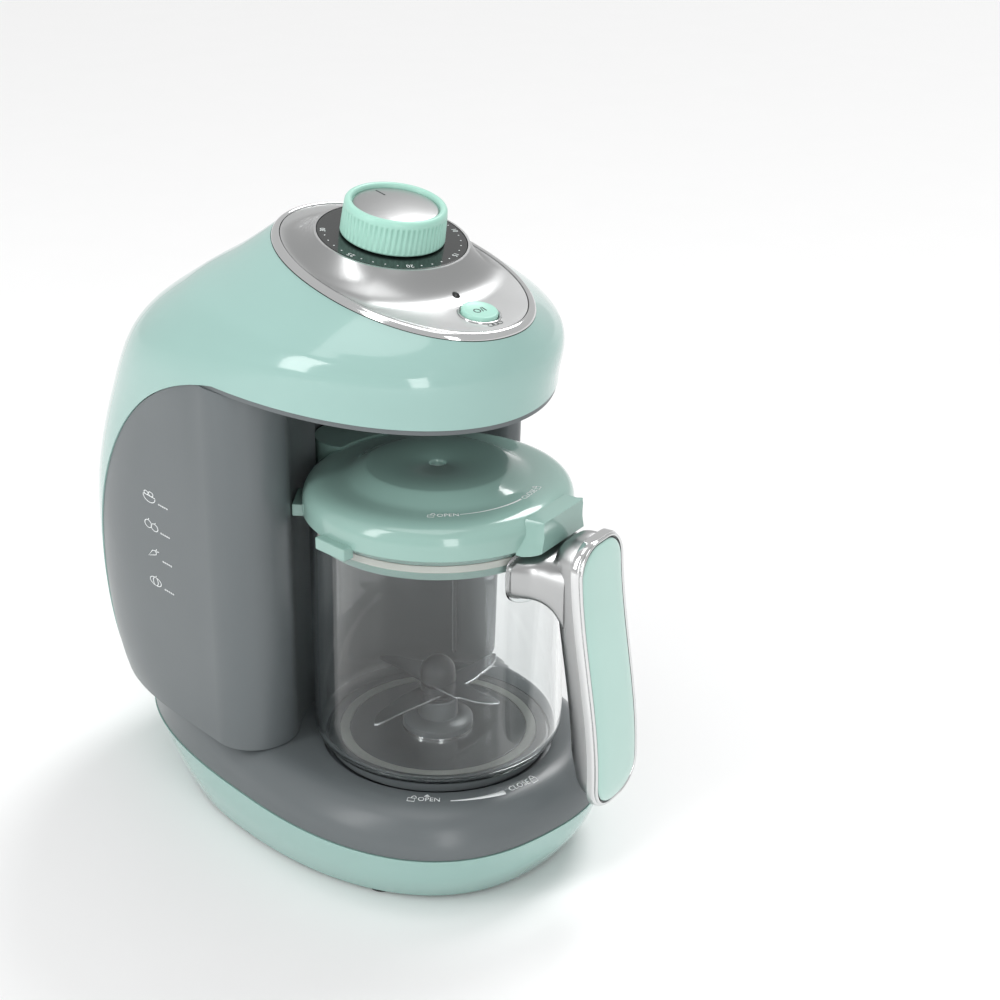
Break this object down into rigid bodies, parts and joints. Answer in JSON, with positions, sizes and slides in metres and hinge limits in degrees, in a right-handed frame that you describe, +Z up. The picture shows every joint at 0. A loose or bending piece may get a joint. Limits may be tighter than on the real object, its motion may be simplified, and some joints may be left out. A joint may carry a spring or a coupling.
{
  "type": "baby food maker",
  "caption": "Counter-top baby food maker: a C-shaped housing over a clear blending jug with lid and handle, a steam boiler in its column, a timer knob and a power button on a tilted panel.",
  "frame": {"origin": "on the tabletop, under the middle of the whole object's box", "axes": "+Z up; the front, with the jug and its handle, faces -Y; +X is on the right seen from the front"},
  "size_m": [0.1736, 0.2867, 0.2947],
  "materials": {
    "mint_shell": "glossy mint green",
    "mint_lid": "glossy gray mint",
    "gray_liner": "satin mid gray",
    "silver_panel": "satin silver",
    "dark_plastic": "satin near black",
    "clear_plastic": "clear, glossy",
    "frosted_plastic": "translucent",
    "bright_trim": "polished bright trim",
    "steel": "brushed",
    "aluminium": "cast, satin",
    "copper_pack": "wound and laminated rotor",
    "bronze": "sintered bearing",
    "rubber": "matte",
    "pale_rubber": "matte, translucent white",
    "board": "printed board"
  },
  "bodies": {
    "housing": {"outer_shell": "mint_shell", "base_bowl": "mint_shell", "liner": "gray_liner", "base_deck": "gray_liner", "bottom_plate": "dark_plastic", "rubber_feet": "rubber", "bottom_screws": "steel", "cord_inlet": "rubber", "panel_bezel": "bright_trim", "control_panel": "silver_panel", "dial_ring": "dark_plastic", "timer": "dark_plastic", "button_spring": "steel", "power_switch": "dark_plastic", "led_lens": "frosted_plastic", "control_board": "board", "motor_frame": "aluminium", "motor_bearings": "bronze", "motor_mounts": "rubber", "power_board": "board", "water_tank": "frosted_plastic", "filler_ring": "gray_liner", "boiler": "aluminium", "heating_element": "steel", "thermostat": "dark_plastic", "feed_tube": "pale_rubber", "steam_tube": "pale_rubber", "steam_nozzle": "dark_plastic", "nozzle_gasket": "rubber", "interlock_switch": "dark_plastic"},
    "lock_ring": {"lock_ring": "steel"},
    "jug": {"jug": "clear_plastic", "blade_base": "gray_liner", "base_gasket": "pale_rubber", "blade_bearing": "bronze", "blade_seal": "rubber", "handle_bracket": "silver_panel", "handle_shell": "silver_panel", "handle_frame": "bright_trim", "handle_inlay": "mint_shell", "handle_screws": "steel"},
    "blades": {"blade_shaft": "steel", "jug_dog": "dark_plastic", "lower_blade": "steel", "upper_blade": "steel", "blade_hub": "dark_plastic"},
    "lid": {"lid": "mint_lid", "lid_gasket": "pale_rubber"},
    "rotor": {"motor_rotor": "copper_pack", "motor_shaft": "steel", "cooling_fan": "dark_plastic", "drive_dog": "dark_plastic"},
    "knob": {"knob": "mint_shell", "knob_cap": "silver_panel", "knob_shaft": "steel"},
    "button": {"power_button": "mint_shell"},
    "tank_cap": {"tank_cap": "mint_shell", "cap_seal": "rubber"}
  },
  "joints": [
    {"name": "jug_turn", "type": "hinge", "parent": "housing", "child": "lock_ring", "pos_m": [0, -0.049, 0.046], "axis": [0, 0, 1], "range_deg": [-48, 0]},
    {"name": "jug_lift", "type": "slide", "parent": "lock_ring", "child": "jug", "axis": [0, 0, 1], "range_m": [0, 0.009]},
    {"name": "lid_lift", "type": "slide", "parent": "jug", "child": "lid", "axis": [0, 0, 1], "range_m": [0, 0.02]},
    {"name": "blade_spin", "type": "hinge", "parent": "jug", "child": "blades", "pos_m": [0, -0.049, 0.06], "axis": [0, 0, 1], "continuous": true},
    {"name": "motor_spin", "type": "hinge", "parent": "housing", "child": "rotor", "pos_m": [0, -0.049, 0.03], "axis": [0, 0, 1], "continuous": true},
    {"name": "knob_turn", "type": "hinge", "parent": "housing", "child": "knob", "pos_m": [0, -0.01746, 0.26359], "axis": [0, -0.1959, 0.9806], "range_deg": [-300, 0]},
    {"name": "button_press", "type": "slide", "parent": "housing", "child": "button", "axis": [0, 0.1959, -0.9806], "range_m": [0, 0.0015], "stiffness_N_per_m": 400, "springref_m": -0.0005, "deforming": ["button_spring"]},
    {"name": "cap_turn", "type": "hinge", "parent": "housing", "child": "tank_cap", "pos_m": [0, 0.105, 0.2194], "axis": [0, 0.866, 0.5], "range_deg": [0, 90]}
  ],
  "couplings": [
    {"joint": "blade_spin", "follows": "motor_spin", "ratio": 1}
  ]
}
